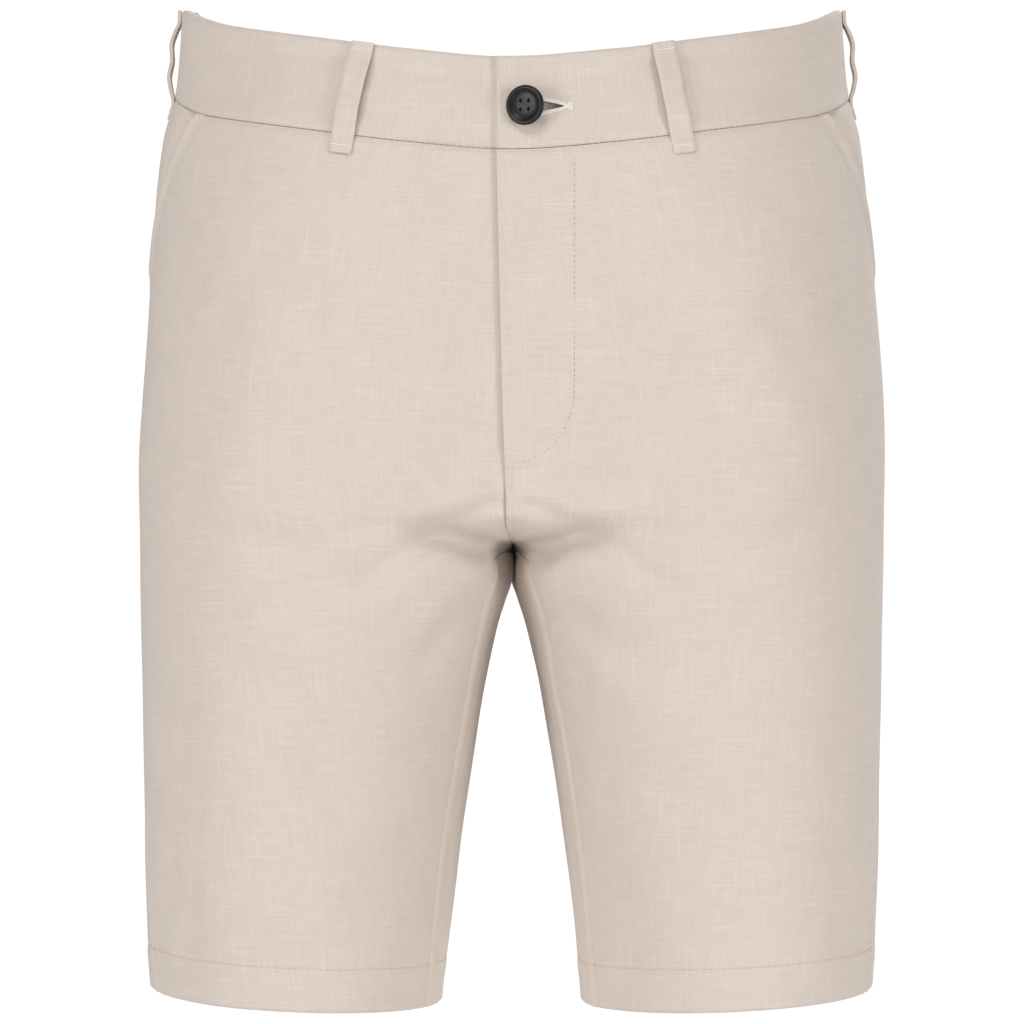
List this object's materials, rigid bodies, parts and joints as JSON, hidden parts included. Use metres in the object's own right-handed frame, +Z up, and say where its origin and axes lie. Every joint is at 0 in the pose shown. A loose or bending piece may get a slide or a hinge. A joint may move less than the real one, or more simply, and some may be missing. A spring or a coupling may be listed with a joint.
{
  "type": "bermuda shorts",
  "caption": "Knee-length tailored linen shorts, filled out as worn, with a waistband, belt loops, slant pockets, an overlapping fly and open hollow legs.",
  "frame": {"origin": "middle of the waist opening, level with the top edge of the waistband at the centre front", "axes": "+Z up, -Y to the front, +X to the wearer's left"},
  "size_m": [0.3668, 0.2696, 0.4885],
  "materials": {
    "linen": "matte plain-weave linen",
    "button": "satin resin",
    "thread": "matte thread"
  },
  "bodies": {
    "root": {"front_left": "linen", "front_right": "linen", "back_left": "linen", "back_right": "linen", "pocket_side_left": "linen", "pocket_side_right": "linen", "fly_shield": "linen", "waistband_left": "linen", "waistband_right": "linen", "belt_loop_front_left": "linen", "belt_loop_front_right": "linen", "belt_loop_side_left": "linen", "belt_loop_side_right": "linen", "belt_loop_back": "linen", "button": "button", "button_shank": "thread", "buttonhole_edge": "thread"}
  },
  "joints": []
}
